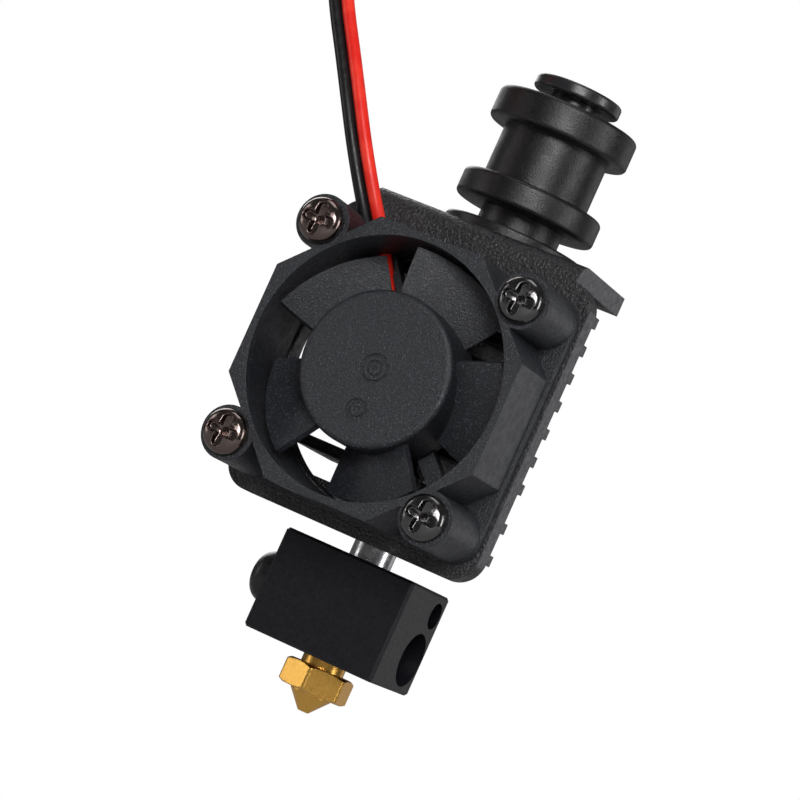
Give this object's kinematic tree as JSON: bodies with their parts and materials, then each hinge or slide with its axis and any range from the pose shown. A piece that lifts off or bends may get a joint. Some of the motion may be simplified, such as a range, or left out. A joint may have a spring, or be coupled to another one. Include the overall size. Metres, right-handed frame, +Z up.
{
  "type": "hotend assembly",
  "caption": "Black 3D printer hotend: groove mount with push-in tube collet, finned heatsink with front fan, steel heat break, heater block, brass nozzle and fan lead.",
  "frame": {"origin": "on the filament's axis, at the middle of the mounting groove", "axes": "+Z up along the filament's axis, -Y towards the fan, +X to the fan's right seen from its front; the nozzle points along -Z"},
  "size_m": [0.063, 0.0303, 0.1076],
  "materials": {
    "black_blasted": "fine blasted black anodised aluminium",
    "black_textured": "coarse sand-textured black coating on aluminium",
    "black_smooth": "smooth satin black anodised aluminium",
    "black_plastic": "satin black plastic",
    "steel": "turned bright steel",
    "black_screw": "black oxide steel",
    "brass": "turned brass",
    "ptfe": "white fluoropolymer",
    "fan_plastic": "finely grained black moulded plastic",
    "magnet": "bonded ferrite",
    "nylon": "natural nylon",
    "bronze": "sintered bronze",
    "label": "blank silver sticker",
    "copper": "enamelled copper wire",
    "board": "green solder mask",
    "nickel_screw": "black nickel",
    "red_insulation": "red wire insulation",
    "black_insulation": "black wire insulation",
    "white_plastic": "off-white nylon",
    "tin": "tinned contact"
  },
  "bodies": {
    "body": {"groove_mount": "black_blasted", "heatsink": "black_textured", "heater_block": "black_smooth", "collet_ring": "steel", "heat_break": "steel", "heat_break_screw": "black_screw", "block_screw": "black_screw", "nozzle": "brass", "ptfe_liner": "ptfe", "fan_frame": "fan_plastic", "thrust_washer": "nylon", "bearing_sleeve": "bronze", "seal_disc": "label", "stator_core": "steel", "stator_insulator": "nylon", "stator_windings": "copper", "driver_board": "board", "fan_screws": "nickel_screw", "red_wire": "red_insulation", "black_wire": "black_insulation", "red_hank": "red_insulation", "black_hank": "black_insulation", "lead_tie": "black_insulation", "connector_housing": "white_plastic", "connector_contacts": "tin"},
    "rotor": {"fan_rotor": "fan_plastic", "rotor_yoke": "steel", "rotor_magnet": "magnet", "fan_shaft": "steel", "shaft_clip": "nylon"},
    "collet": {"collet": "black_plastic"}
  },
  "joints": [
    {"name": "fan_spin", "type": "hinge", "parent": "body", "child": "rotor", "pos_m": [0, 0, -0.0283], "axis": [0, 1, 0], "continuous": true},
    {"name": "collet_press", "type": "slide", "parent": "body", "child": "collet", "axis": [0, 0, -1], "range_m": [0, 0.001], "stiffness_N_per_m": 1500}
  ]
}
